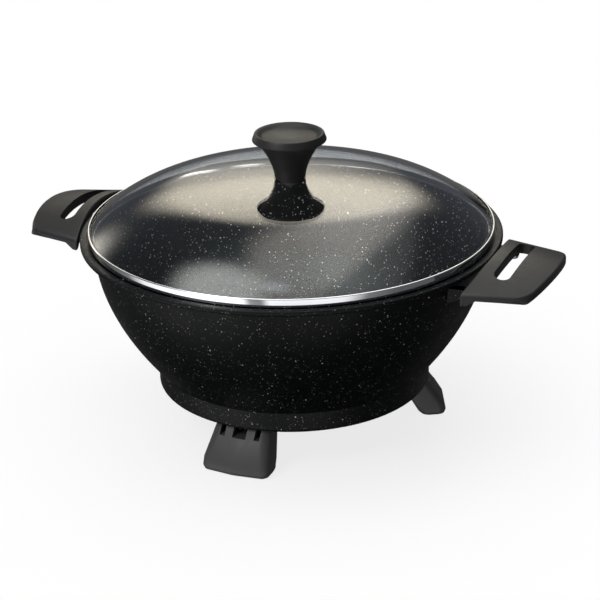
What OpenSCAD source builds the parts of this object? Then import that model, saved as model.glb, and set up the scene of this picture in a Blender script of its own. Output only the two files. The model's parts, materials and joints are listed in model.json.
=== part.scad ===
// Electric multicooker pot: a cast bowl on three feet, with two side handles,
// a cast-in heater with a socket for a plug-in control, and a loose glass lid.
// Millimetres, +Z up. The origin is on the bowl's axis, on the surface that the feet stand on.
// +X points to the right handle and -Y to the front foot.

/* [Bowl] */
// Outer radius of the wall at its top
bowl_r = 155.9; // [140:0.1:175]
// Height of the curved wall
bowl_h = 101.6; // [85:0.1:120]
// How far the wall draws in from its top to its bottom
bowl_draw = 45.8; // [35:0.1:55]
// Fullness of the wall's curve, where 1 is a straight cone
bowl_curve = 1.91; // [1.4:0.01:2.2]
// Thickness of the cast wall
wall_t = 3.5; // [2.5:0.1:4.5]
// Thickness of the cast floor
floor_t = 5.2; // [4:0.1:7]
// Radius of the bend between floor and wall, inside
floor_bend_r = 15; // [8:0.5:22]

/* [Lip] */
// Width of the ledge that the lid sits on
seat_w = 9; // [7.5:0.1:11]
// Depth of the ledge below the lip's top
seat_depth = 1.4; // [0.8:0.1:2]
// Width of the lip outside the ledge
lip_w = 5; // [3.5:0.1:8]
// Thickness of the lip
lip_t = 4.2; // [3.8:0.1:5.5]
// Rounding of the lip's outer edges
lip_edge_r = 1.4; // [1:0.1:1.8]
// Radius of the bend from the wall into the lip
lip_bend_r = 2; // [1:0.1:3]

/* [Base ring] */
// Height of the base ring
base_h = 17.8; // [16:0.1:26]
// How far the base ring stands in from the wall's bottom
base_step = 0.9; // [0.5:0.1:5]
// Thickness of the base ring
base_wall = 5; // [4:0.1:7]
// Rounding of the base ring's lower edge
base_round = 3; // [1:0.1:4]

/* [Feet] */
// Height of the base ring above the table
foot_h = 34.6; // [30:0.1:45]
// Half of a foot's width at the sole
foot_half_w = 28; // [24:0.5:34]
// Half of a foot's width at the top
foot_top_half_w = 21.8; // [20:0.1:26]
// Radial depth of a foot at the sole
foot_depth = 23; // [18:0.5:28]
// Radial depth of a foot at the top
foot_top_depth = 23.7; // [22:0.1:28]
// How far a foot splays out from its top to its sole
foot_splay = 22; // [16:0.5:24]
// Wall of the hollow part of a foot
foot_wall = 3.2; // [2.5:0.1:4]
// Rounding of a foot's upright corners
foot_corner_r = 7; // [4:0.5:9]
// How far a foot reaches up inside the base ring
foot_tuck = 4; // [2:0.5:6]
// Depth of the notches in a foot's outer wall, below the base ring
notch_h = 8; // [6:0.5:11]
// Width of the middle notch
notch_w = 11.2; // [8:0.1:13]
// Width of the two narrow notches
side_notch_w = 4.5; // [3:0.1:6]
// Distance of the narrow notches from the middle
side_notch_y = 14.5; // [13:0.1:16]

/* [Handles] */
// Gap between the lip and a handle's inner edge
handle_gap = 2.8; // [2:0.1:6]
// Radius of the inner edge, seen from above
handle_in_edge_r = 192; // [180:1:260]
// Length of a handle away from the bowl, at its middle
handle_reach = 49.9; // [45:0.1:60]
// Half of the width of a handle at its inner edge
handle_half_w = 61.2; // [55:0.1:70]
// Half of the width of a handle at its outer edge
handle_tip_half_w = 50.2; // [45:0.1:58]
// Radius of the outer edge, seen from above
handle_tip_r = 120.75; // [90:0.25:200]
// Thickness of the plate
handle_t = 4.4; // [4:0.1:5]
// Thickness of the plate's turned-down inner edge
handle_in_t = 7; // [5.5:0.1:7.2]
// Thickness of the plate's turned-down outer edge
handle_out_t = 5.8; // [5.5:0.1:8]
// Thickness of the plate at its two inner corners
handle_root_t = 9; // [8:0.1:10]
// Distance over which an inner corner thins to the plate
handle_root_w = 6; // [4:0.5:12]
// Height of the plate's middle above the lip
handle_rise = 4.7; // [4:0.1:7]
// How far the inner corners hang below the middle
handle_arch = 14.4; // [10:0.1:16]
// Fall of the plate for each millimetre away from the bowl
handle_droop = 0.12; // [0.05:0.01:0.22]
// Rounding of the plate's upper edges
handle_edge_r = 2; // [1:0.1:2]
// Rounding of the outer corners, seen from above
handle_corner_r = 11; // [7:0.5:14]
// Distance from the inner edge to the finger slot
slot_in = 10; // [9:0.1:14]
// Width of the finger slot
slot_w = 12.8; // [10:0.1:16]
// Half of the length of the finger slot
slot_half_l = 37; // [28:0.5:38]
// Radius of the finger slot's bend
slot_bend_r = 286; // [200:1:400]
// Thickness of the wall that hangs round the finger slot
skirt_w = 1.8; // [1.4:0.1:2.4]
// Depth of that wall below the plate
skirt_h = 3.4; // [2:0.1:3.8]

/* [Handle lugs] */
// Distance of a lug from the handle's middle line
lug_y = 45; // [42:0.5:47]
// Distance of a lug's screw from the handle's inner edge
lug_out = 5.6; // [5:0.1:6.2]
// Width of a lug
lug_w = 8.4; // [8:0.1:10]
// Thickness of a lug at its screw
lug_t = 4.8; // [4:0.1:6]
// Height of the gusset below a lug
gusset_h = 9; // [6:0.5:14]
// Height of the moulded boss between a lug and the plate
boss_h = 2.4; // [2.2:0.1:3.4]

/* [Glass lid] */
// Gap between the lid's band and the lip
lid_gap = 1.4; // [0.6:0.1:2]
// Height of the steel band
rim_h = 8; // [7:0.1:11]
// Thickness of the steel band
rim_t = 0.8; // [0.6:0.1:1]
// Height of the dome above the band
dome_h = 36.6; // [30:0.1:42]
// Radius of the dome's flat crown
crown_r = 685; // [500:5:900]
// Radius at which the flat crown ends
crown_flat_r = 87; // [70:1:105]
// Thickness of the glass
glass_t = 4; // [3:0.1:5]
// Gap between the glass edge and the band
glass_gap = 0.8; // [0.4:0.1:1.2]
// Radius of the hole for the knob's screw
glass_hole_r = 4.5; // [3.5:0.1:6]

/* [Knob] */
// Height of the knob
knob_h = 35.5; // [30:0.1:45]
// Largest radius of the knob
knob_r = 29; // [27.5:0.1:34]
// Radius of the knob's neck on the glass
neck_r = 12.2; // [10:0.1:15]
// Radius of the stem below the flange
stem_r = 25.5; // [20:0.1:26]
// Height of the flange
flange_h = 6.3; // [4:0.1:8]
// How far the flange's side leans in
flange_lean = 1.6; // [1:0.1:3]
// Width of the rim round the dish in the top
knob_rim_w = 1.4; // [1.2:0.1:4]
// How far the dish's side draws in
dish_draw = 5.4; // [2:0.1:8]
// Depth of the dish
dish_depth = 3.2; // [1:0.1:4]

/* [Heater and socket] */
// Radius of the heater's loop
loop_r = 66; // [55:0.5:67]
// Radius of the heater tube
tube_r = 4; // [3:0.1:4.5]
// Distance of the terminals from the middle
terminal_x = 13; // [12.5:0.1:16]
// Radius of a terminal pin
pin_r = 2.4; // [1.8:0.1:2.6]
// Free length of a terminal pin
pin_free = 14; // [10:0.5:18]
// Radius of the well for the control's feeler
well_r = 4.2; // [3:0.1:4.4]
// Depth of the well for the control's feeler
well_depth = 69; // [50:1:75]
// Half of the socket's width, inside
socket_half_w = 23.5; // [22:0.5:26]
// Half of the socket's height, inside
socket_half_h = 8; // [7:0.1:8.5]
// Depth of the socket
socket_depth = 28; // [24:0.5:34]
// Wall of the socket
socket_wall = 2.5; // [2:0.1:3]

/* [Hidden] */
$fn = 128;

// Clearances
cast_gap = 0.2;
tuck_gap = 0.4;
fit_gap = 0.1;
screw_gap = 0.3;
overlap = 1;

// Steps of the curves
wall_steps = 26;
bend_steps = 6;
dome_steps = 14;

// Heights, from the table up
base_z = foot_h;
bowl_z0 = base_z + base_h;
bowl_z1 = bowl_z0 + bowl_h;
lip_under_z = bowl_z1 + lip_bend_r;
lip_z = lip_under_z + lip_t;
seat_z = lip_z - seat_depth;
floor_rise = 4.6;
floor_z = bowl_z0 + floor_rise;
floor_under_z = floor_z - floor_t;

// Radii of the bowl
seat_in_r = bowl_r - wall_t;
seat_r = seat_in_r + seat_w;
lip_r = seat_r + lip_w;
base_r = bowl_r - bowl_draw - base_step;
base_in_r = base_r - base_wall;
step_drop = 1.2;

// Points along an arc from angle a0 to a1
function arc(c, r, a0, a1, steps) =
    [for (i = [0 : steps]) let (a = a0 + (a1 - a0) * i / steps) c + r * [cos(a), sin(a)]];

// The wall's outer radius and its slope at a height
function wall_r(z) = bowl_r - bowl_draw * pow((bowl_z1 - z) / bowl_h, bowl_curve);
function wall_slope(z) =
    bowl_draw * bowl_curve / bowl_h * pow((bowl_z1 - z) / bowl_h, bowl_curve - 1);
function inner_r(z) = wall_r(z) - wall_t * sqrt(1 + pow(wall_slope(z), 2));

// Outline of the casting's outside, from the floor's underside round to the lip
outer_outline = concat(
    [[0, floor_under_z], [base_in_r, floor_under_z], [base_in_r, base_z]],
    arc([base_r - base_round, base_z + base_round], base_round, -90, 0, bend_steps),
    [[base_r, bowl_z0 - step_drop]],
    [for (i = [0 : wall_steps]) let (z = bowl_z0 + bowl_h * i / wall_steps) [wall_r(z), z]],
    arc([bowl_r + lip_bend_r, bowl_z1], lip_bend_r, 165, 90, bend_steps),
    arc([lip_r - lip_edge_r, lip_under_z + lip_edge_r], lip_edge_r, -90, 0, bend_steps),
    arc([lip_r - lip_edge_r, lip_z - lip_edge_r], lip_edge_r, 0, 90, bend_steps),
    [[seat_r, lip_z], [0, lip_z]]
);

// Outline of the hollow, from the floor up past the lip
bend_angle = atan(1 / wall_slope(floor_z));
bend_c = [inner_r(floor_z) - floor_bend_r * tan(bend_angle / 2), floor_z + floor_bend_r];
bend_top_z = bend_c[1] - floor_bend_r * cos(bend_angle) + step_drop;
hollow_outline = concat(
    [[0, floor_z]],
    arc(bend_c, floor_bend_r, -90, bend_angle - 90, bend_steps),
    [for (i = [0 : wall_steps])
        let (z = bend_top_z + (bowl_z1 - bend_top_z) * i / wall_steps) [inner_r(z), z]],
    [[seat_in_r, seat_z], [seat_r, seat_z], [seat_r, lip_z + overlap], [0, lip_z + overlap]]
);

// Heater loop: its tube lies in a cast rib, and its ends turn back to the socket
tube_cover = 1.5;
tube_z = floor_under_z - tube_r - 2 * tube_cover + 0.2;
rib_z = tube_z - tube_r - tube_cover;
rib_half_w = tube_r + 2;
rib_draft = 2;
turn_angle = 70;
turn_r = (loop_r * cos(turn_angle) - terminal_x) / (1 - cos(turn_angle));
turn_y = (loop_r + turn_r) * sin(turn_angle);
loop_angle = 180 + 2 * turn_angle;
loop_short = 1;
rib_short = 4;
collar_r = tube_r + 0.7;
collar_l = 5;

// Socket pad, terminals and guard at the back
pad_out = 3.9;
pad_y = bowl_r - bowl_draw + pad_out;
pad_in_y = base_in_r - 6;
guard_half_w = socket_half_w + socket_wall + 8;
guard_half_h = socket_half_h + socket_wall;
flange_t = 3;
tube_end_y = pad_y + 4;
seal_l = 4;
seal_end_y = tube_end_y + seal_l;
pin_root_r = pin_r - 0.4;
pin_root_l = 12;
pin_tip_l = 2;
well_wall = 3.3;
guard_screw_x = socket_half_w + socket_wall + 4;
guard_screw_r = 1.8;
guard_screw_l = 10;
guard_head_r = 3.4;
guard_head_h = 2.2;

// Feet: one at the front and two at the back
FOOT_ANGLES = [-90, 150, 30];
foot_top_z = base_z + foot_tuck;
foot_top_r = base_in_r - tuck_gap - 2.5;
foot_r = foot_top_r + foot_splay;
pocket_z = base_z - notch_h;
sole_round = 3;
toe_z = 3.5;
toe_lean_z = 10;
toe_lean = 1.2;
slice_t = 0.2;
mount_depth = 10;
mount_half_w = 12;
mount_out_r = foot_top_r - foot_wall - tuck_gap;
mount_r = mount_out_r - mount_depth / 2;
foot_screw_r = 2.4;
foot_screw_l = 22;
foot_head_r = 4.6;
foot_head_h = 3.4;
foot_floor_t = 6;

// Handles: sizes seen from above, and the lugs below them
handle_in_r = lip_r + handle_gap;
handle_z = lip_z + handle_rise;
handle_in_x = handle_in_r - handle_in_edge_r;
handle_in_a = asin(handle_half_w / handle_in_edge_r);
handle_tip_a = asin(handle_tip_half_w / handle_tip_r);
handle_tip_x = handle_in_r + handle_reach - handle_tip_r;
handle_inner_corner_r = 3;
handle_low_corner_r = 2.5;
handle_low_edge_r = 0.8;
handle_turn_w = 3;
handle_turn_slope = 1.5;
slot_c = handle_in_r + slot_in + slot_w / 2 - slot_bend_r;
slot_a = asin((slot_half_l - slot_w / 2) / slot_bend_r);
slot_cut_z = handle_z - 26;
slot_cut_h = 30;
lug_x = handle_in_x + sqrt(pow(handle_in_edge_r, 2) - pow(lug_y, 2)) + lug_out;
lug_root_x = seat_in_r - 10;
lug_z1 = handle_top(lug_x, lug_y) - handle_t - boss_h;
lug_z0 = lug_z1 - lug_t;
gusset_x = lug_x - 5.5;
boss_r = lug_w / 2 - 0.5;
handle_screw_r = 2;
handle_head_r = 3.6;
handle_head_h = 2.6;
handle_screw_l = lug_t + boss_h + 2.5;

// Lid: the dome is a flat crown that runs into a rounder shoulder
lid_r = seat_r - lid_gap;
rim_z = seat_z + rim_h;
edge_r = lid_r - rim_t - glass_gap;
edge_z = rim_z - 0.6;
apex_z = rim_z + dome_h;
crown_c = apex_z - crown_r;
crown_a = asin(crown_flat_r / crown_r);
shoulder_dr = edge_r - crown_flat_r;
shoulder_dz = crown_c + crown_r * cos(crown_a) - edge_z;
edge_a = 2 * atan(shoulder_dz / shoulder_dr) - crown_a;
shoulder_r = shoulder_dr / (sin(edge_a) - sin(crown_a));
shoulder_c = [(crown_r - shoulder_r) * sin(crown_a),
              crown_c + (crown_r - shoulder_r) * cos(crown_a)];
rim_flange_w = 6.4;
seal_t = 0.6;
curl_w = 1.2;

// Knob and what holds it
gasket_t = 0.8;
knob_z = apex_z + gasket_t;
stem_power = 1.66;
stem_steps = 10;
insert_r = 4;
insert_l = 14;
screw_r = 2;
screw_head_r = 4.2;
screw_head_h = 3;
soft_r = 9;
soft_t = 1.2;
steel_r = 8;
steel_t = 1;
soft_z = crown_c + sqrt(pow(crown_r - glass_t, 2) - pow(soft_r, 2)) - soft_t;
steel_z = soft_z - steel_t;
screw_end_z = knob_z + insert_l - overlap;

// Finishes
granite = "#1b1c1d";
phenolic = "#3a3a3a";
steel = "#c9cacb";
brass = "#b08d4a";
silicone = "#5b5d5e";
ceramic = "#d9d4c8";

// Height of a handle's top face at a place seen from above
function handle_top(x, y) =
    handle_z - handle_arch * pow(y / handle_half_w, 2) - handle_droop * (norm([x, y]) - handle_in_r);

// How far a rounded edge of radius r has drawn back, at distance q from the end
function drawn_in(q, r) = q < r ? r - sqrt(r * r - pow(r - q, 2)) : 0;

// Places across a handle, from -1 to 1, close together at the rounded ends
handle_end_places = [for (i = [0 : 7]) handle_corner_r * (1 - cos(90 * i / 7))];
handle_half_places = concat(
    [for (q = handle_end_places) 1 - q / handle_tip_half_w],
    [for (i = [5 : -1 : 1]) (1 - handle_corner_r / handle_tip_half_w) * i / 6]
);
handle_places = concat(
    [for (s = handle_half_places) -s],
    [0],
    [for (i = [len(handle_half_places) - 1 : -1 : 0]) handle_half_places[i]]
);

// One section of a handle: a plate with turned-down edges, from the inner to the outer edge.
// The inner corners hang lower than the rest, and the outer corners less low.
// Its thin end is drawn in from above and below, so that the loft's ends are rounded.
function handle_section(s) =
    let (q = (1 - abs(s)) * handle_tip_half_w,
         inner = [handle_in_x, 0] + handle_in_edge_r * [cos(handle_in_a * s), sin(handle_in_a * s)],
         tip = [handle_tip_x, 0] + handle_tip_r * [cos(handle_tip_a * s), sin(handle_tip_a * s)],
         along = (tip - inner) / norm(tip - inner),
         u0 = drawn_in(q, handle_inner_corner_r),
         u1 = norm(tip - inner) - drawn_in(q, handle_corner_r),
         low_u1 = norm(tip - inner) - drawn_in(q, handle_low_corner_r),
         high = -drawn_in(q, handle_edge_r),
         lift = drawn_in(q, handle_low_edge_r),
         corner = pow(s, 8),
         in_t = handle_in_t + (handle_root_t - handle_in_t) * corner,
         out_t = handle_out_t - (handle_out_t - handle_t) * corner,
         r = min(handle_edge_r, (handle_t + high - lift) / 2),
         low_r = handle_low_edge_r / 2,
         turn = handle_turn_w + u0,
         slope = handle_turn_slope + handle_root_w * corner,
         out_turn = handle_turn_w + handle_corner_r / 2,
         bar = concat(arc([low_u1 - low_r, lift + low_r - out_t], low_r, -90, 0, 2),
                      arc([u1 - r, high - r], r, 0, 90, 4),
                      arc([u0 + r, high - r], r, 90, 180, 4),
                      arc([u0 + low_r, lift + low_r - in_t], low_r, 180, 270, 2),
                      [[turn, lift - in_t], [turn + slope, lift - handle_t],
                       [u1 - out_turn - handle_turn_slope, lift - handle_t],
                       [u1 - out_turn, lift - out_t]]))
    [for (p = bar) let (xy = inner + p[0] * along) [xy[0], xy[1], handle_top(xy[0], xy[1]) + p[1]]];

// The end face of a handle in triangles: its inner block, its thin middle and its outer block
handle_cap = concat(
    [for (j = [9 : 16]) [8, j, j + 1]],
    [[17, 18, 7], [17, 7, 8], [7, 18, 19], [7, 19, 0]],
    [for (j = [0 : 5]) [7, j, j + 1]]
);

// Faces of a loft through n sections of m points each, with end faces of the given triangles
function loft_faces(n, m, cap) = concat(
    [for (t = cap) [t[0], t[2], t[1]]],
    [for (i = [0 : n - 2], j = [0 : m - 1]) [i * m + j, i * m + (j + 1) % m, (i + 1) * m + j]],
    [for (i = [0 : n - 2], j = [0 : m - 1])
        [(i + 1) * m + j, i * m + (j + 1) % m, (i + 1) * m + (j + 1) % m]],
    [for (t = cap) [for (k = t) (n - 1) * m + k]]
);

module handle_plate() {
    sections = [for (s = handle_places) handle_section(s)];
    polyhedron([for (section = sections) each section],
               loft_faces(len(sections), len(sections[0]), handle_cap), convexity = 6);
}

// Arc of the given angle swept by a round tube, starting at +X
module tube_arc(bend_r, angle, r) {
    rotate_extrude(angle = angle) translate([bend_r, 0]) circle(r);
}

// The heater's tube at radius r: its loop, and the two turns and legs that collars join to it
module heater_path(r, leg_end_y) {
    translate([0, 0, tube_z]) {
        rotate([0, 0, 180 - turn_angle + loop_short])
            tube_arc(loop_r, loop_angle - 2 * loop_short, r);
        for (side = [-1, 1]) {
            mirror([side < 0 ? 1 : 0, 0, 0]) {
                translate([terminal_x + turn_r, turn_y, 0])
                    rotate([0, 0, 180]) tube_arc(turn_r, turn_angle, r);
                translate([terminal_x, turn_y, 0]) along_y(r, leg_end_y - turn_y);
            }
        }
    }
}

// A cylinder along +Y
module along_y(r, l) {
    rotate([-90, 0, 0]) cylinder(r = r, h = l);
}

// A rectangle with round corners, centred
module rounded_rect(w, h, r) {
    square([w - 2 * r, h], center = true);
    square([w, h - 2 * r], center = true);
    for (x = [-1, 1], y = [-1, 1]) translate([x * (w / 2 - r), y * (h / 2 - r)]) circle(r);
}

// A screw along +Z: its cross-slotted head hangs below the origin
module screw(r, l, head_r, head_h) {
    cylinder(r = r, h = l);
    difference() {
        union() {
            translate([0, 0, -head_h]) cylinder(r1 = head_r * 0.82, r2 = head_r, h = head_h * 0.4);
            translate([0, 0, -head_h * 0.6]) cylinder(r = head_r, h = head_h * 0.6);
        }
        for (a = [0, 90]) rotate([0, 0, a]) translate([-head_r * 0.55, -head_r * 0.12, -head_h - overlap])
            cube([head_r * 1.1, head_r * 0.24, head_h * 0.5 + overlap]);
    }
}

// Places of the two lugs' screws, for one side
module at_lugs(side) {
    for (y = [-1, 1]) translate([side * lug_x, y * lug_y, 0]) children();
}

// Cast lugs below the handles, each with a gusset down the wall
module handle_lugs() {
    side_view = [[lug_root_x, lug_z0 - gusset_h], [gusset_x, lug_z0], [lug_x, lug_z0],
                 [lug_x, lug_z1], [lug_root_x, lug_z1]];
    for (side = [-1, 1]) {
        at_lugs(side) translate([0, 0, lug_z0]) cylinder(d = lug_w, h = lug_t);
        for (y = [-1, 1]) mirror([side < 0 ? 1 : 0, 0, 0]) {
            translate([0, y * lug_y + lug_w / 2, 0]) rotate([90, 0, 0])
                linear_extrude(lug_w) polygon(side_view);
        }
    }
}

// Cast post that a foot is screwed to
module foot_mount() {
    translate([mount_out_r - mount_depth, -mount_half_w, pocket_z])
        cube([mount_depth, 2 * mount_half_w, floor_under_z - pocket_z + overlap]);
}

module heater_rib() {
    rotate([0, 0, 180 - turn_angle + rib_short]) {
        rotate_extrude(angle = loop_angle - 2 * rib_short) {
            polygon([[loop_r - rib_half_w, rib_z], [loop_r + rib_half_w, rib_z],
                     [loop_r + rib_half_w + rib_draft, floor_under_z + overlap],
                     [loop_r - rib_half_w - rib_draft, floor_under_z + overlap]]);
        }
    }
}

// Block for the feeler's well, and the flat pad that carries the socket
module socket_block() {
    well_half = well_r + well_wall;
    translate([-well_half, pad_y - well_depth - 4, tube_z - well_half + 1])
        cube([2 * well_half, well_depth, floor_under_z - tube_z + well_half]);
    translate([-guard_half_w, pad_in_y, base_z])
        cube([2 * guard_half_w, pad_y - pad_in_y, floor_z + overlap - base_z]);
}

module pot_body() color(granite) {
    difference() {
        union() {
            rotate_extrude() polygon(outer_outline);
            handle_lugs();
            for (a = FOOT_ANGLES) rotate([0, 0, a]) foot_mount();
            heater_rib();
            socket_block();
        }
        rotate_extrude() polygon(hollow_outline);
        heater_path(tube_r + cast_gap, pad_y + overlap);
        translate([0, pad_y - well_depth, tube_z]) along_y(well_r, well_depth + overlap);
        for (side = [-1, 1]) {
            at_lugs(side) translate([0, 0, lug_z0 - overlap])
                cylinder(r = handle_screw_r + screw_gap, h = lug_t + 2 * overlap);
            translate([side * guard_screw_x, pad_y - guard_screw_l, tube_z])
                along_y(guard_screw_r + fit_gap, guard_screw_l + overlap);
        }
        for (a = FOOT_ANGLES) {
            rotate([0, 0, a]) translate([mount_r, 0, pocket_z - overlap])
                cylinder(r = foot_screw_r + fit_gap, h = foot_screw_l - foot_floor_t + 2 * overlap);
        }
    }
}

module heating_element() color(steel) {
    difference() {
        union() {
            heater_path(tube_r, tube_end_y);
            for (side = [0, 1]) mirror([side, 0, 0]) rotate([0, 0, turn_angle])
                translate([loop_r, -collar_l / 2, tube_z]) along_y(collar_r, collar_l);
        }
        for (side = [-1, 1]) {
            translate([side * terminal_x, seal_end_y - pin_root_l - overlap, tube_z])
                along_y(pin_root_r + fit_gap, pin_root_l + overlap);
        }
    }
}

module element_seal(side) color(ceramic) {
    translate([side * terminal_x, tube_end_y, tube_z]) {
        difference() {
            along_y(tube_r, seal_l);
            translate([0, -overlap, 0]) along_y(pin_root_r + fit_gap, seal_l + 2 * overlap);
        }
    }
}

module terminal(side) color(steel) {
    translate([side * terminal_x, seal_end_y, tube_z]) {
        translate([0, -pin_root_l, 0]) along_y(pin_root_r, pin_root_l);
        along_y(pin_r, pin_free);
        translate([0, pin_free, 0])
            rotate([-90, 0, 0]) cylinder(r1 = pin_r, r2 = pin_r * 0.6, h = pin_tip_l);
    }
}

// Shroud round the terminals, open to the back for the plug-in control
module socket_guard() color(phenolic) {
    translate([0, pad_y, tube_z]) rotate([90, 0, 180]) {
        difference() {
            union() {
                linear_extrude(flange_t) rounded_rect(2 * guard_half_w, 2 * guard_half_h, 3);
                linear_extrude(socket_depth)
                    rounded_rect(2 * (socket_half_w + socket_wall), 2 * guard_half_h, 4);
            }
            translate([0, 0, -overlap]) linear_extrude(socket_depth + 2 * overlap)
                rounded_rect(2 * socket_half_w, 2 * socket_half_h, 2);
            for (x = [-1, 1]) translate([x * guard_screw_x, 0, -overlap])
                cylinder(r = guard_screw_r + screw_gap, h = flange_t + 2 * overlap);
        }
    }
}

module guard_screws() color(steel) {
    for (x = [-1, 1]) {
        translate([x * guard_screw_x, pad_y + flange_t, tube_z]) rotate([90, 0, 0])
            screw(guard_screw_r, flange_t + guard_screw_l - overlap, guard_head_r, guard_head_h);
    }
}

// A bent bar as long as the finger slot, with round ends
module slot_bar(w) {
    translate([slot_c, 0, slot_cut_z]) {
        rotate([0, 0, -slot_a]) rotate_extrude(angle = 2 * slot_a)
            translate([slot_bend_r - w / 2, 0]) square([w, slot_cut_h]);
        for (a = [-1, 1]) rotate([0, 0, a * slot_a])
            translate([slot_bend_r, 0, 0]) cylinder(d = w, h = slot_cut_h);
    }
}

module handle(side) color(phenolic) rotate([0, 0, side < 0 ? 180 : 0]) {
    difference() {
        union() {
            difference() {
                handle_plate();
                for (y = [-1, 1]) translate([lug_root_x, y * lug_y - lug_w / 2 - fit_gap, slot_cut_z])
                    cube([lug_x - lug_root_x + lug_w, lug_w + 2 * fit_gap, lug_z1 + fit_gap - slot_cut_z]);
            }
            intersection() {
                translate([0, 0, -skirt_h]) handle_plate();
                slot_bar(slot_w + 2 * skirt_w);
            }
            at_lugs(1) translate([0, 0, lug_z1]) cylinder(r = boss_r, h = boss_h + 1.5);
        }
        slot_bar(slot_w);
        at_lugs(1) translate([0, 0, lug_z1 - overlap])
            cylinder(r = handle_screw_r + fit_gap, h = handle_screw_l - lug_t + 1.5 * overlap);
    }
}

module handle_screws(side) color(steel) {
    at_lugs(side) translate([0, 0, lug_z0])
        screw(handle_screw_r, handle_screw_l, handle_head_r, handle_head_h);
}

// Section of a foot seen from above, drawn in by the given amount all round
module foot_section(r_in, r_out, half_w, inset) {
    corner = foot_corner_r - inset;
    offset(r = corner, $fn = 32) offset(delta = -corner - inset) intersection() {
        translate([r_in, -half_w]) square([r_out - r_in, 2 * half_w]);
        circle(r_out);
    }
}

module foot_slice(z, r_in, r_out, half_w, inset) {
    translate([0, 0, z]) linear_extrude(slice_t) foot_section(r_in, r_out, half_w, inset);
}

// Inner radius and half width of a foot at a height
function foot_in_r(z) =
    foot_r - foot_depth - (foot_splay + foot_top_depth - foot_depth) * z / foot_top_z;
function foot_w(z) = foot_half_w - (foot_half_w - foot_top_half_w) * z / foot_top_z;

module foot(i) color(phenolic) rotate([0, 0, FOOT_ANGLES[i]]) {
    difference() {
        hull() {
            foot_slice(0, foot_in_r(0), foot_r, foot_half_w, sole_round);
            foot_slice(toe_z / 3, foot_in_r(toe_z / 3), foot_r, foot_half_w, sole_round / 3);
            foot_slice(toe_z, foot_in_r(toe_z), foot_r, foot_half_w, 0);
            foot_slice(toe_lean_z, foot_in_r(toe_lean_z), foot_r - toe_lean, foot_w(toe_z), 0);
            foot_slice(foot_top_z - slice_t, foot_in_r(foot_top_z), foot_top_r, foot_top_half_w, 0);
        }
        hull() {
            foot_slice(pocket_z, foot_in_r(pocket_z), foot_top_r + notch_h * 0.9, foot_w(pocket_z),
                       foot_wall);
            foot_slice(foot_top_z, foot_in_r(foot_top_z), foot_top_r, foot_top_half_w, foot_wall);
        }
        for (y = [-side_notch_y, 0, side_notch_y]) {
            w = y == 0 ? notch_w : side_notch_w;
            translate([mount_out_r + tuck_gap, y - w / 2, pocket_z])
                cube([foot_depth + foot_splay, w, notch_h + foot_tuck + overlap]);
        }
        translate([mount_r, 0, -overlap])
            cylinder(r = foot_head_r + screw_gap, h = pocket_z - foot_floor_t + overlap);
        translate([mount_r, 0, 0]) cylinder(r = foot_screw_r + screw_gap, h = pocket_z + overlap);
    }
}

module foot_screw(i) color(steel) rotate([0, 0, FOOT_ANGLES[i]]) {
    translate([mount_r, 0, pocket_z - foot_floor_t])
        screw(foot_screw_r, foot_screw_l, foot_head_r, foot_head_h);
}

// Points of the dome's surface at depth t below its outside, from radius r out to the edge
function dome_points(t, r) = let (a = asin(r / (crown_r - t))) concat(
    arc([0, crown_c], crown_r - t, 90 - a, 90 - crown_a, dome_steps),
    arc(shoulder_c, shoulder_r - t, 90 - crown_a, 90 - edge_a, dome_steps)
);
glass_in = dome_points(glass_t, glass_hole_r);
glass_in_end = glass_in[len(glass_in) - 1];
glass_tip_z = glass_in_end[1] - (edge_r - glass_in_end[0]) * tan(edge_a);
// A steep glass edge is ground flat where it would come too near the band's flange
glass_low_z = max(glass_tip_z, seat_z + rim_t + seal_t + cast_gap);
glass_ground_r = edge_r - (glass_low_z - glass_tip_z) / tan(edge_a);
glass_edge = glass_ground_r < edge_r
    ? [[edge_r, glass_low_z], [glass_ground_r, glass_low_z]]
    : [[edge_r, glass_low_z]];

module lid_glass() color("lightblue", 0.4) {
    outside = dome_points(0, glass_hole_r);
    inside = [for (i = [len(glass_in) - 1 : -1 : 0]) glass_in[i]];
    rotate_extrude() polygon(concat(outside, glass_edge, inside));
}

// Steel band: a channel with a flange below the glass and a curl over its edge
module lid_rim() color(steel) {
    in_r = lid_r - rim_t;
    rotate_extrude() polygon(concat(
        [[lid_r - rim_flange_w, seat_z]],
        arc([lid_r - rim_t, seat_z + rim_t], rim_t, -90, 0, bend_steps),
        arc([lid_r - rim_t, rim_z - rim_t / 2], rim_t, 0, 90, bend_steps),
        [[lid_r - curl_w, rim_z + rim_t / 2], [lid_r - curl_w, rim_z], [in_r, rim_z - rim_t / 2],
         [in_r, seat_z + rim_t], [lid_r - rim_flange_w, seat_z + rim_t]]
    ));
}

// Height just below the glass at its edge
function under_glass(r) = max(glass_low_z, glass_tip_z + (edge_r - r) * tan(edge_a)) - cast_gap;

// Silicone wedge between the glass edge and the band's flange
module rim_seal() color(silicone) {
    low = seat_z + rim_t;
    in_r = lid_r - rim_flange_w + 1;
    out_r = edge_r + glass_gap / 2;
    rotate_extrude() polygon([
        [in_r, low], [out_r, low], [out_r, under_glass(edge_r)],
        for (p = glass_edge) [p[0], under_glass(p[0])],
        [in_r, under_glass(in_r)]
    ]);
}

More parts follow.
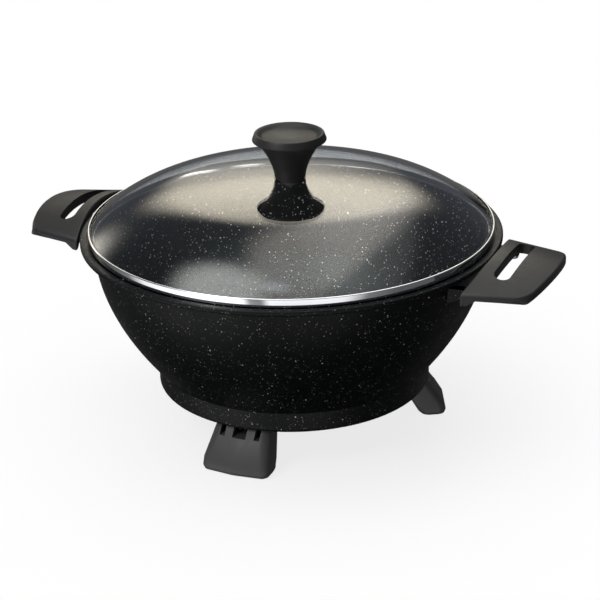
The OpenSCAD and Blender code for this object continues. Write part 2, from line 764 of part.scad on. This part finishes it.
// Goblet-shaped knob with a shallow dish in its top
module knob() color(phenolic) {
    stem_h = knob_h - flange_h;
    top_r = knob_r - flange_lean;
    dish_r = top_r - knob_rim_w;
    stem = [for (i = [0 : stem_steps]) let (h = i / stem_steps)
        [neck_r + (stem_r - neck_r) * pow(h, stem_power), stem_h * h]];
    difference() {
        translate([0, 0, knob_z]) rotate_extrude() polygon(concat(
            [[0, 0]], stem,
            arc([knob_r - 1, stem_h + 1], 1, -90, 20, bend_steps),
            arc([top_r - 1, knob_h - 1], 1, 30, 90, bend_steps),
            [[dish_r, knob_h], [dish_r - dish_draw, knob_h - dish_depth], [0, knob_h - dish_depth]]
        ));
        translate([0, 0, knob_z - overlap]) cylinder(r = insert_r + fit_gap, h = insert_l + overlap);
    }
}

// A plain ring
module ring(z, r, hole_r, t) {
    translate([0, 0, z]) difference() {
        cylinder(r = r, h = t);
        translate([0, 0, -overlap]) cylinder(r = hole_r, h = t + 2 * overlap);
    }
}

module knob_insert() color(brass) ring(knob_z, insert_r, screw_r + fit_gap, insert_l);

module knob_gasket() color(silicone) ring(apex_z, neck_r - 0.6, glass_hole_r, gasket_t);

module lid_washer_soft() color(silicone) ring(soft_z, soft_r, screw_r + screw_gap, soft_t);

module lid_washer_steel() color(steel) ring(steel_z, steel_r, screw_r + screw_gap, steel_t);

module knob_screw() color(steel) {
    translate([0, 0, steel_z]) screw(screw_r, screw_end_z - steel_z, screw_head_r, screw_head_h);
}

pot_body();
heating_element();
element_seal(-1);  // element_seal_left
element_seal(1);  // element_seal_right
terminal(-1);  // terminal_left
terminal(1);  // terminal_right
socket_guard();
guard_screws();
handle(-1);  // handle_left
handle(1);  // handle_right
handle_screws(-1);  // handle_screws_left
handle_screws(1);  // handle_screws_right
foot(0);  // foot_front
foot(1);  // foot_rear_left
foot(2);  // foot_rear_right
foot_screw(0);  // foot_screw_front
foot_screw(1);  // foot_screw_rear_left
foot_screw(2);  // foot_screw_rear_right
lid_glass();
lid_rim();
rim_seal();
knob();
knob_insert();
knob_gasket();
lid_washer_soft();
lid_washer_steel();
knob_screw();
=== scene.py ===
"""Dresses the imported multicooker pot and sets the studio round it. Metres, the CAD frame."""

import json
import math

import bmesh
import bpy
from mathutils import Matrix, Vector
from mathutils.bvhtree import BVHTree


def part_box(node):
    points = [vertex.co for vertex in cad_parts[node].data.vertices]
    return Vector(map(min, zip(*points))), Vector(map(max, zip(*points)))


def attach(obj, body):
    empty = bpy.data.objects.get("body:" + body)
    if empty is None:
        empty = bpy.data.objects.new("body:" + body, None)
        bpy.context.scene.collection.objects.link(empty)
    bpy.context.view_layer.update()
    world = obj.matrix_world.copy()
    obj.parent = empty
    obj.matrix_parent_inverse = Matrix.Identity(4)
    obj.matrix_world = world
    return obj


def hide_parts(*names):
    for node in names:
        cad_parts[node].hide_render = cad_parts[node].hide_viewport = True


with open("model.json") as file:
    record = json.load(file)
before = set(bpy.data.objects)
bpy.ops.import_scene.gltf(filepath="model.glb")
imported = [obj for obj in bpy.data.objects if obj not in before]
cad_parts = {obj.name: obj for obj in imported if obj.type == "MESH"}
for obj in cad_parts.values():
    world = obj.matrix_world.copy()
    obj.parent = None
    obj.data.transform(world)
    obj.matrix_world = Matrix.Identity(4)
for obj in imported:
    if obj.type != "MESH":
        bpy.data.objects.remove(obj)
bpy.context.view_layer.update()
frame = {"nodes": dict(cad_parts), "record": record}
NODES = frame["nodes"]
SLOT_OF = {part["node"]: part["material_slot"] for part in frame["record"]["subparts"]}
BODY_OF = {node: body for body, members in frame["record"]["behaviour"]["bodies"].items()
           for node in members}

# The photograph's camera, in the CAD frame, with angles in degrees
LENS_MM = 117.0
SENSOR_MM = 36.0
CAMERA_AZIMUTH = 23.6
CAMERA_ELEVATION = 23.03
CAMERA_ROLL = -1.2
CAMERA_DISTANCE = 1.5631
CAMERA_HEIGHT = 0.09865
CAMERA_SIDE = 0.00567
CAMERA_CLIP = (0.1, 20)

# The lamp: its place to the right, away and up from the lid, and the share of its side that fades out
LAMP_OFFSET = (-1.05, -0.98, 1.08)
LAMP_SIDE = 0.9
LAMP_RADIANCE = 7.5
LAMP_COLOUR = (1.0, 0.99, 0.98)
LAMP_FADE = 0.3
LID_HEIGHT = 0.18

# Glows far off: azimuth from straight behind the pot to the right, elevation, roll,
# half width and height as sines, sharpness of the edge, colour
SOFT_BOXES = (
    (-0.6, 26.6, 9.8, 0.272, 0.168, 1.9, (2.36, 2.15, 1.74)),
    (12.7, 72.7, -2.4, 0.247, 0.693, 3.7, (1.24, 1.15, 1.06)),
    (-97.4, 65.7, 11.7, 0.339, 0.262, 2.65, (3.53, 3.61, 3.50)),
    (54.1, 83.7, 5.6, 0.385, 0.304, 1.03, (0.71, 0.84, 0.81)),
    (66.6, 67.7, 13.8, 0.89, 0.239, 3.06, (0.37, 0.38, 0.37)),
    (-43.2, 6.6, -17.8, 0.150, 0.230, 1.29, (3.3, 3.1, 2.75)),
    (-128.4, 83.5, -5.8, 0.089, 0.067, 1.83, (1.36, 1.41, 1.64)),
    (-3.0, 13.8, 0.0, 0.150, 0.058, 2.0, (0.5, 0.47, 0.42)),
    (-6.9, 13.5, 0.0, 0.027, 0.0070, 2.0, (4.6, 4.5, 4.3)),
    (-3.1, 12.9, 0.0, 0.018, 0.0070, 2.0, (2.7, 2.6, 2.4)),
    (-160.0, 8.0, 0.0, 0.600, 0.160, 2.0, (0.5, 0.5, 0.5)),
)
ROOM_HIGH = (0.098, 0.104, 0.122)

# The pale stretch below the horizon: its turn from the camera, its brightness by direction (a cosine)
# and by depth (a sine), and a paler patch in it, given like the glows
FRONT_TURN = -30.0
FRONT_STEPS = ((-1.0, 0.12), (-0.4, 0.1), (0.0, 0.1), (0.3, 0.2), (0.48, 0.98), (0.6, 1.05))
DOWN_STEPS = ((0.0, 0.8), (0.3, 1.0), (0.6, 0.8), (0.8, 0.12))
LOW_BOX = (-132.0, -27.0, 0.0, 0.42, 0.28, 1.5, (0.5, 0.5, 0.5))
# A dark post in that stretch: its turn, where its side starts and ends (sines), the light left in it
POST_TURN = -20.0
POST_START, POST_END, POST_LIGHT = 0.05, 0.12, 0.12
# Height, as a sine, over which the stretch gives way to the room above
HORIZON = 0.02

# The floor: it clears from the inner to the outer share of its radius
FLOOR_RADIUS = 0.4
FLOOR_DROP = 0.0004
FLOOR_SEGMENTS = 96
FLOOR_INNER, FLOOR_INNER_CLEAR = 0.2, 0.8
FLOOR_OUTER, FLOOR_OUTER_CLEAR = 0.96, 1.0

# Specks of the coat: side of the bowl, cell, share of cells with a speck, smallest and largest radius,
# seed, darkest and palest shade
SPECKS = (
    ("outside", 0.0014, 0.52, 0.00016, 0.00031, 1.7, 0.04, 0.32),
    ("outside", 0.0022, 0.48, 0.00022, 0.00042, 4.1, 0.12, 0.70),
    ("outside", 0.0050, 0.32, 0.00040, 0.00060, 7.3, 0.40, 0.90),
    # The inside specks are paler than the outside ones: painted light for the light that falls into
    # the bowl through the glass
    ("inside", 0.0021, 0.66, 0.00024, 0.00045, 2.9, 0.25, 0.85),
    ("inside", 0.0030, 0.52, 0.00036, 0.00066, 5.6, 0.80, 0.98),
)
SPECK_CORE = 0.7
SPECK_WARMTH = 0.96
# The part of a noise's range that a mottled colour or roughness spans
MOTTLE = (0.3, 0.7)

# Nodes that are shaded smooth, and the angle from which their edges stay sharp
BOWL = "pot_body"
FEET = ("foot_front", "foot_rear_left", "foot_rear_right")
SMOOTH = {BOWL: 32, "lid_glass": 32, "knob": 32, "handle_left": 30, "handle_right": 30,
          **dict.fromkeys(FEET, 30)}
# Nodes that get a paler copy of their slot's material: painted light, standing in for the lamp's light
# on the feet
PAINTED_LIGHT_MATERIAL = dict.fromkeys(FEET, "foot_phenolic_painted_light")
WELD = 2e-6
SLIVER = 1e-7
# How far below the lip the inside of the bowl is looked at from, and how near a hit has to be
EYE_DEPTH = 0.002
EYE_SLACK = 0.001

# The steel band: its sheet, the widths of its flange and curl, and how finely it is turned and bent
BAND = "lid_rim"
BAND_SHARP = 40
BAND_SHEET = 0.0008
BAND_FLANGE = 0.0064
BAND_CURL = 0.0012
BAND_STEPS = 288
BEND_STEPS = 8


# Node trees

class Tree:
    """A node tree that starts empty, with short calls for the nodes used here."""

    def __init__(self, tree):
        self.tree = tree
        tree.nodes.clear()

    def add(self, kind, **settings):
        node = self.tree.nodes.new(kind)
        for name, value in settings.items():
            setattr(node, name, value)
        return node

    def link(self, source, target):
        self.tree.links.new(source, target)

    def feed(self, socket, value):
        """Links an output to the socket, or sets its value."""
        if isinstance(value, bpy.types.NodeSocket):
            self.link(value, socket)
        else:
            socket.default_value = value

    def maths(self, operation, a, b=0.0):
        node = self.add("ShaderNodeMath", operation=operation)
        self.feed(node.inputs[0], a)
        self.feed(node.inputs[1], b)
        return node.outputs[0]

    def times(self, a, b):
        return self.maths("MULTIPLY", a, b)

    def remap(self, value, low, high, to_low=0.0, to_high=1.0, shape="LINEAR"):
        node = self.add("ShaderNodeMapRange", clamp=True, interpolation_type=shape)
        for socket, part in zip(node.inputs, (value, low, high, to_low, to_high)):
            self.feed(socket, part)
        return node.outputs[0]

    def vectors(self, operation, a, b):
        node = self.add("ShaderNodeVectorMath", operation=operation)
        self.feed(node.inputs[0], a)
        self.feed(node.inputs["Scale" if operation == "SCALE" else 1], b)
        return node.outputs["Value" if operation == "DOT_PRODUCT" else "Vector"]

    def mix(self, factor, a, b):
        node = self.add("ShaderNodeMix", data_type="RGBA")
        for socket, part in zip((node.inputs[0], node.inputs[6], node.inputs[7]), (factor, a, b)):
            self.feed(socket, part)
        return node.outputs[2]

    def ramp(self, factor, stops):
        """Colours by a factor; each stop is a place and a colour or a grey."""
        node = self.add("ShaderNodeValToRGB")
        band = node.color_ramp
        while len(band.elements) < len(stops):
            band.elements.new(0.5)
        for element, (place, colour) in zip(band.elements, stops):
            shade = colour if isinstance(colour, tuple) else (colour,) * 3
            element.position, element.color = place, (*shade, 1)
        self.link(factor, node.inputs[0])
        return node.outputs[0]

    def place(self):
        return self.add("ShaderNodeTexCoord").outputs["Object"]

    def noise(self, vector, scale, detail=2.0):
        node = self.add("ShaderNodeTexNoise")
        self.link(vector, node.inputs["Vector"])
        node.inputs["Scale"].default_value = scale
        node.inputs["Detail"].default_value = detail
        return node.outputs["Fac"]

    def mottle(self, vector, scale, dark, pale, detail=3.0):
        """A colour that drifts between two shades."""
        return self.ramp(self.noise(vector, scale, detail), list(zip(MOTTLE, (dark, pale))))

    def drift(self, vector, scale, low, high):
        """A value that drifts between two ends."""
        return self.remap(self.noise(vector, scale), *MOTTLE, low, high)

    def bump(self, height, strength, distance):
        node = self.add("ShaderNodeBump")
        node.inputs["Strength"].default_value = strength
        node.inputs["Distance"].default_value = distance
        self.link(height, node.inputs["Height"])
        return node.outputs[0]

    def principled(self, **values):
        """The main shader, with its sockets fed by name."""
        shader = self.add("ShaderNodeBsdfPrincipled")
        for name, value in values.items():
            self.feed(shader.inputs[name.replace("_", " ")], value)
        return shader.outputs[0]

    def clear_where(self, factor, shader):
        """The shader, made clear by a factor."""
        both = self.add("ShaderNodeMixShader")
        clear = self.add("ShaderNodeBsdfTransparent")
        for socket, part in zip(both.inputs, (factor, shader, clear.outputs[0])):
            self.link(part, socket)
        return both.outputs[0]

    def surface(self, shader):
        self.link(shader, self.add("ShaderNodeOutputMaterial").inputs["Surface"])


def new_material(name):
    material = bpy.data.materials.new(name)
    material.use_nodes = True
    return material, Tree(material.node_tree)


# Materials

def floor_paper():
    """White paper that clears towards its edge, so that it runs into the background."""
    material, t = new_material("floor_paper")
    place = t.place()
    far = t.add("ShaderNodeVectorMath", operation="LENGTH")
    t.link(place, far.inputs[0])
    gone = t.remap(far.outputs["Value"], FLOOR_INNER * FLOOR_RADIUS, FLOOR_OUTER * FLOOR_RADIUS,
                   FLOOR_INNER_CLEAR, FLOOR_OUTER_CLEAR, "SMOOTHSTEP")
    paper = t.add("ShaderNodeBsdfDiffuse")
    t.link(t.ramp(t.noise(place, scale=900), [(0.0, 0.9), (1.0, 0.94)]), paper.inputs["Color"])
    t.surface(t.clear_where(gone, paper.outputs[0]))
    return material


def specks(t, place, cell, share, small, large, seed):
    """Round specks scattered in space: their mask and a random shade for each."""
    cells = t.add("ShaderNodeTexVoronoi", feature="F1")
    t.link(t.vectors("ADD", place, (seed, seed * 0.7, seed * 1.3)), cells.inputs["Vector"])
    cells.inputs["Scale"].default_value = 1 / cell
    dice = t.add("ShaderNodeSeparateColor")
    t.link(cells.outputs["Color"], dice.inputs[0])
    size = t.remap(dice.outputs[0], 0, 1, small / cell, large / cell)
    covered = t.remap(cells.outputs["Distance"], t.times(size, SPECK_CORE), size, 1.0, 0.0)
    chosen = t.maths("LESS_THAN", dice.outputs[1], share)
    return t.times(covered, chosen), dice.outputs[2]


def granite_coat():
    """Near-black satin coat with fine pale specks of mixed sizes; the specks inside the bowl are
    paler, as painted light.
    """
    material, t = new_material("granite_coat")
    place = t.place()
    colour = t.mottle(place, 14, (0.0012, 0.0017, 0.0019), (0.0024, 0.0030, 0.0032), detail=2.0)
    inside = t.add("ShaderNodeAttribute", attribute_name="inside").outputs["Fac"]
    where = {"inside": inside, "outside": t.maths("SUBTRACT", 1.0, inside)}
    # Faces inside the bowl take the paler specks: painted light
    for side, cell, share, small, large, seed, low, high in SPECKS:
        mask, shade = specks(t, place, cell, share, small, large, seed)
        pale = t.ramp(shade, [(0.0, low), (1.0, (high, high, high * SPECK_WARMTH))])
        colour = t.mix(t.times(mask, where[side]), colour, pale)
    peel = t.noise(place, scale=520, detail=3)
    t.surface(t.principled(Base_Color=colour, Roughness=t.drift(place, 60, 0.36, 0.46),
                           Specular_IOR_Level=0.18, Normal=t.bump(peel, 0.03, 0.0004)))
    return material


def phenolic(name, dark, pale):
    """Moulded charcoal plastic: a fine spark-eroded grain and faint clouds."""
    material, t = new_material(name)
    place = t.place()
    grain = t.noise(place, scale=1500)
    t.surface(t.principled(Base_Color=t.mottle(place, 22, dark, pale),
                           Roughness=t.drift(place, 90, 0.40, 0.48),
                           Specular_IOR_Level=0.4, Normal=t.bump(grain, 0.18, 0.0003)))
    return material


def metal(name, pale, dark, rough_low, rough_high, scale, bump=0.02):
    """Metal with faint stains and fine marks."""
    material, t = new_material(name)
    place = t.place()
    marks = t.noise(place, scale * 12)
    t.surface(t.principled(Base_Color=t.mottle(place, scale, dark, pale),
                           Roughness=t.drift(place, scale * 4, rough_low, rough_high),
                           Metallic=1.0, Normal=t.bump(marks, bump, 0.0002)))
    return material


def glass():
    """Clear glass that lets the lamps through to what lies under it."""
    material, t = new_material("clear_glass")
    place = t.place()
    smear = t.remap(t.noise(place, scale=35, detail=3), 0.35, 0.75, 0.0, 0.012)
    tint = t.ramp(t.noise(place, scale=9), [(0.0, (0.83, 0.85, 0.845)), (1.0, (0.86, 0.87, 0.865))])
    shader = t.principled(Base_Color=tint, Roughness=smear, IOR=1.5, Transmission_Weight=1.0)
    t.surface(t.clear_where(t.add("ShaderNodeLightPath").outputs["Is Shadow Ray"], shader))
    return material


def soft(name, pale, dark, rough, scale):
    """Silicone or unglazed ceramic: even colour with a faint mottle and a dull skin."""
    material, t = new_material(name)
    place = t.place()
    dull = t.remap(t.noise(place, scale), 0, 1, rough - 0.05, rough + 0.05)
    t.surface(t.principled(Base_Color=t.mottle(place, scale, dark, pale), Roughness=dull,
                           Normal=t.bump(t.noise(place, scale * 8), 0.1, 0.0003)))
    return material


def make_materials():
    return {
        "granite_coat": granite_coat(),
        "charcoal_phenolic": phenolic("charcoal_phenolic", (0.0135, 0.0134, 0.013),
                                      (0.018, 0.0178, 0.0173)),
        # A paler copy of the charcoal phenolic for the feet: painted light for the lamp's light on
        # them
        "foot_phenolic_painted_light": phenolic("foot_phenolic_painted_light", (0.056, 0.0562, 0.056), (0.067, 0.0672, 0.067)),
        "polished_steel": metal("polished_steel", (0.89, 0.91, 0.94), (0.83, 0.85, 0.88),
                                0.05, 0.09, 40, 0.01),
        "screw_steel": metal("screw_steel", (0.5,) * 3, (0.4,) * 3, 0.25, 0.4, 300),
        "clear_glass": glass(),
        "silicone": soft("silicone", (0.034, 0.034, 0.035), (0.026, 0.026, 0.027), 0.5, 200),
        "brass": metal("brass", (0.62, 0.44, 0.18), (0.5, 0.34, 0.13), 0.2, 0.35, 200),
        "ceramic": soft("ceramic", (0.72, 0.69, 0.61), (0.64, 0.6, 0.52), 0.7, 300),
        "heater_sheath": metal("heater_sheath", (0.2, 0.19, 0.18), (0.12, 0.11, 0.1), 0.35, 0.55, 120),
        "terminal_metal": metal("terminal_metal", (0.68,) * 3, (0.6, 0.6, 0.57), 0.18, 0.3, 250),
    }


MATERIALS = make_materials()


# Directions round the pot, as the camera sees them

UP = Vector((0, 0, 1))


def turned(a, b, degrees):
    """Two axes turned in their plane, the first towards the second."""
    turn = math.radians(degrees)
    return a * math.cos(turn) + b * math.sin(turn), b * math.cos(turn) - a * math.sin(turn)


def level_axes():
    """Right and away from the photograph's camera, level with the floor."""
    az = math.radians(CAMERA_AZIMUTH)
    return Vector((math.cos(az), math.sin(az), 0)), Vector((-math.sin(az), math.cos(az), 0))


def upright(axes, place):
    """The matrix that sets an object's axes and place."""
    return Matrix.Translation(place) @ Matrix(axes).transposed().to_4x4()


# Stage: camera, floor, lamp and background

def add_object(name, data):
    made = bpy.data.objects.new(name, data)
    bpy.context.scene.collection.objects.link(made)
    return made


def make_camera():
    right, away = level_axes()
    back, up = turned(-away, UP, CAMERA_ELEVATION)
    place = UP * CAMERA_HEIGHT + right * CAMERA_SIDE + back * CAMERA_DISTANCE
    right, up = turned(right, up, CAMERA_ROLL)
    data = bpy.data.cameras.new("camera")
    data.lens, data.sensor_width, data.sensor_fit = LENS_MM, SENSOR_MM, "HORIZONTAL"
    data.clip_start, data.clip_end = CAMERA_CLIP
    camera = add_object("camera", data)
    camera.matrix_world = upright((right, up, back), place)
    bpy.context.scene.camera = camera


def make_lamp():
    """A soft box that faces the lid and dims towards its edges."""
    right, away = level_axes()
    place = right * LAMP_OFFSET[0] + away * LAMP_OFFSET[1] + UP * LAMP_OFFSET[2]
    out = place.normalized()
    across = (right - out * right.dot(out)).normalized()
    data = bpy.data.lights.new("front_box", "AREA")
    data.shape, data.size, data.size_y = "RECTANGLE", LAMP_SIDE, LAMP_SIDE
    data.color = LAMP_COLOUR
    data.energy = LAMP_RADIANCE * math.pi * LAMP_SIDE * LAMP_SIDE
    data.use_nodes = True
    t = Tree(data.node_tree)
    spot = t.add("ShaderNodeSeparateXYZ")
    t.link(t.add("ShaderNodeNewGeometry").outputs["Parametric"], spot.inputs[0])
    from_middle = [t.maths("ABSOLUTE", t.maths("SUBTRACT", spot.outputs[axis], 0.5)) for axis in "XY"]
    faded = [t.remap(way, 0.5 - LAMP_FADE, 0.5, 1.0, 0.0, "SMOOTHSTEP") for way in from_middle]
    emission = t.add("ShaderNodeEmission")
    t.link(t.times(*faded), emission.inputs["Strength"])
    t.link(emission.outputs[0], t.add("ShaderNodeOutputLight").inputs["Surface"])
    lamp = add_object("front_box", data)
    lamp.matrix_world = upright((across, out.cross(across), out), place + UP * LID_HEIGHT)


def make_floor():
    """A pale round floor that fades into the white background."""
    mesh = bpy.data.meshes.new("floor")
    bm = bmesh.new()
    bmesh.ops.create_circle(bm, cap_ends=True, segments=FLOOR_SEGMENTS, radius=FLOOR_RADIUS)
    bm.to_mesh(mesh)
    bm.free()
    mesh.materials.append(floor_paper())
    floor = add_object("floor", mesh)
    floor.location.z = -FLOOR_DROP
    floor.visible_diffuse = floor.visible_glossy = floor.visible_transmission = False


def soft_box(t, direction, azimuth, elevation, roll, half_w, half_h, edge, colour):
    """The glow of a large lamp far off."""
    right, away = level_axes()
    level, across = turned(away, right, azimuth)
    middle = turned(level, UP, elevation)[0]
    across, along = turned(across, across.cross(middle), roll)
    squares = []
    for axis in (across / half_w, along / half_h):
        reach = t.vectors("DOT_PRODUCT", direction, axis)
        squares.append(t.times(reach, reach))
    fall = t.maths("POWER", t.maths("ADD", *squares), edge)
    ahead = t.maths("GREATER_THAN", t.vectors("DOT_PRODUCT", direction, middle), 0.0)
    bright = t.times(t.maths("EXPONENT", t.times(fall, -1.0)), ahead)
    return t.vectors("SCALE", colour, bright)


def pale_stretch(t, direction, height):
    """The light from below the horizon: bright in front, with a dark post and a paler patch."""
    right, away = level_axes()
    front = turned(-away, right, FRONT_TURN)[0]
    facing = t.remap(t.vectors("DOT_PRODUCT", direction, front), -1, 1)
    ahead = t.ramp(facing, [(0.5 + place / 2, grey) for place, grey in FRONT_STEPS])
    steep = t.ramp(t.times(height, -1.0), DOWN_STEPS)
    side = turned(-away, right, POST_TURN)[1]
    beside = t.maths("ABSOLUTE", t.vectors("DOT_PRODUCT", direction, side))
    post = t.remap(beside, POST_START, POST_END, POST_LIGHT, 1.0)
    stretch = t.vectors("SCALE", t.vectors("SCALE", ahead, steep), post)
    return t.vectors("ADD", stretch, soft_box(t, direction, *LOW_BOX))


def make_world():
    """White to the eye, also through the glass. Otherwise a pale stretch in front, low down, and a
    room with lamps above."""
    world = bpy.data.worlds.new("studio")
    bpy.context.scene.world = world
    world.use_nodes = True
    t = Tree(world.node_tree)
    direction = t.add("ShaderNodeTexCoord").outputs["Generated"]
    parts = t.add("ShaderNodeSeparateXYZ")
    t.link(direction, parts.inputs[0])
    height = parts.outputs["Z"]
    high = ROOM_HIGH
    for box in SOFT_BOXES:
        high = t.vectors("ADD", soft_box(t, direction, *box), high)
    room = t.mix(t.remap(height, 0.0, HORIZON), pale_stretch(t, direction, height), high)
    path = t.add("ShaderNodeLightPath").outputs
    through = path["Is Transmission Ray"]
    for bounces in ("Glossy Depth", "Diffuse Depth"):
        through = t.times(through, t.maths("LESS_THAN", path[bounces], 0.5))
    seen = t.maths("MAXIMUM", path["Is Camera Ray"], through)
    background = t.add("ShaderNodeBackground")
    t.link(t.mix(seen, room, (1, 1, 1, 1)), background.inputs["Color"])
    t.link(background.outputs[0], t.add("ShaderNodeOutputWorld").inputs["Surface"])


# Pieces

def mark_inside(bm, eye):
    """Marks the faces that are seen from a point in the mouth of the bowl."""
    tree = BVHTree.FromBMesh(bm)
    layer = bm.faces.layers.float.new("inside")
    for face in bm.faces:
        way = face.calc_center_median() - eye
        _, normal, _, far = tree.ray_cast(eye, way.normalized())
        face[layer] = 1.0 if far and far > way.length - EYE_SLACK and normal.dot(way) < 0 else 0.0


def shade_smooth(bm, sharp_angle):
    """Shades every face smooth, and keeps the edges from this angle on sharp."""
    bm.normal_update()
    limit = math.radians(sharp_angle)
    for face in bm.faces:
        face.smooth = True
    for edge in bm.edges:
        edge.smooth = len(edge.link_faces) == 2 and edge.calc_face_angle(0) < limit


def settle(mesh, node):
    """Puts a mesh in the place of a CAD node and on its body, and hides the node."""
    piece = add_object(mesh.name, mesh)
    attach(piece, BODY_OF[node])
    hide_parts(node)


def smooth_copy(node, sharp_angle):
    """A copy of a CAD node with its faces joined and shaded smooth, in the node's place."""
    bm = bmesh.new()
    bm.from_mesh(NODES[node].data)
    bmesh.ops.remove_doubles(bm, verts=bm.verts, dist=WELD)
    bmesh.ops.dissolve_degenerate(bm, dist=SLIVER, edges=bm.edges)
    shade_smooth(bm, sharp_angle)
    if node == BOWL:
        mark_inside(bm, UP * (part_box(node)[1][2] - EYE_DEPTH))
    mesh = bpy.data.meshes.new(node + "_smooth")
    bm.to_mesh(mesh)
    bm.free()
    mesh.materials.append(MATERIALS[PAINTED_LIGHT_MATERIAL.get(node, SLOT_OF[node])])
    settle(mesh, node)


def dress(node):
    """Gives a CAD node its material and leaves its shape alone."""
    mesh = NODES[node].data
    mesh.materials.clear()
    mesh.materials.append(MATERIALS[SLOT_OF[node]])


def turning_tree(material):
    """A tree that turns a closed profile round the pot's axis, and the identifiers of its inputs."""
    group = bpy.data.node_groups.new("turned_ring", "GeometryNodeTree")
    sockets = group.interface
    sockets.new_socket("Profile", in_out="INPUT", socket_type="NodeSocketGeometry")
    radius = sockets.new_socket("Radius", in_out="INPUT", socket_type="NodeSocketFloat")
    steps = sockets.new_socket("Steps", in_out="INPUT", socket_type="NodeSocketInt")
    sockets.new_socket("Ring", in_out="OUTPUT", socket_type="NodeSocketGeometry")
    t = Tree(group)
    given = t.add("NodeGroupInput").outputs
    outline = t.add("GeometryNodeMeshToCurve")
    circle = t.add("GeometryNodeCurvePrimitiveCircle")
    sweep = t.add("GeometryNodeCurveToMesh")
    whole = t.add("GeometryNodeRealizeInstances")
    finish = t.add("GeometryNodeSetMaterial")
    finish.inputs["Material"].default_value = material
    t.link(given["Profile"], outline.inputs["Mesh"])
    t.link(given["Radius"], circle.inputs["Radius"])
    t.link(given["Steps"], circle.inputs["Resolution"])
    t.link(circle.outputs["Curve"], sweep.inputs["Curve"])
    t.link(outline.outputs["Curve"], sweep.inputs["Profile Curve"])
    t.link(sweep.outputs["Mesh"], whole.inputs["Geometry"])
    t.link(whole.outputs["Geometry"], finish.inputs["Geometry"])
    t.link(finish.outputs["Geometry"], t.add("NodeGroupOutput").inputs["Ring"])
    return group, radius.identifier, steps.identifier


def bend(r, z, radius, start, end):
    """Points on an arc in the profile's plane."""
    angles = [math.radians(start + (end - start) * i / BEND_STEPS) for i in range(BEND_STEPS + 1)]
    return [(r + radius * math.cos(a), z + radius * math.sin(a)) for a in angles]


def band_profile(out_r, low, high):
    """The steel band cut through: a rounded flange, a wall with bent corners and a rounded curl."""
    half, wall = BAND_SHEET / 2, out_r - BAND_SHEET
    return (bend(out_r - BAND_FLANGE + half, low + half, half, 90, 270)
            + bend(wall, low + BAND_SHEET, BAND_SHEET, -90, 0)
            + bend(wall, high - BAND_SHEET, BAND_SHEET, 0, 90)
            + bend(out_r - BAND_CURL + half / 2, high - half / 2, half / 2, 90, 270)
            + [(wall, high - BAND_SHEET), (wall, low + BAND_SHEET)])


def turned_band(node, sharp_angle):
    """The lid's steel band, turned from its profile as the real one is spun, in the node's place."""
    low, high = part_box(node)
    out_r = high[0]
    points = band_profile(out_r, low[2], high[2])
    profile = bpy.data.meshes.new("band_profile")
    # The sweep lays the profile's x outwards and its y downwards
    profile.from_pydata([(r - out_r, -z, 0) for r, z in points],
                        [(i, (i + 1) % len(points)) for i in range(len(points))], [])
    blank = add_object("band_blank", profile)
    group, radius, steps = turning_tree(MATERIALS[SLOT_OF[node]])
    turn = blank.modifiers.new("turn", "NODES")
    turn.node_group = group
    turn[radius], turn[steps] = out_r, BAND_STEPS
    made = blank.evaluated_get(bpy.context.evaluated_depsgraph_get())
    mesh = bpy.data.meshes.new_from_object(made)
    mesh.name = node + "_turned"
    bpy.data.objects.remove(blank)
    bm = bmesh.new()
    bm.from_mesh(mesh)
    bmesh.ops.recalc_face_normals(bm, faces=bm.faces)
    shade_smooth(bm, sharp_angle)
    bm.to_mesh(mesh)
    bm.free()
    settle(mesh, node)


for node_name in NODES:
    if node_name in SMOOTH:
        smooth_copy(node_name, SMOOTH[node_name])
    elif node_name == BAND:
        turned_band(node_name, BAND_SHARP)
    else:
        dress(node_name)

make_camera()
make_world()
make_floor()
make_lamp()
bpy.context.scene.view_settings.view_transform = "Standard"
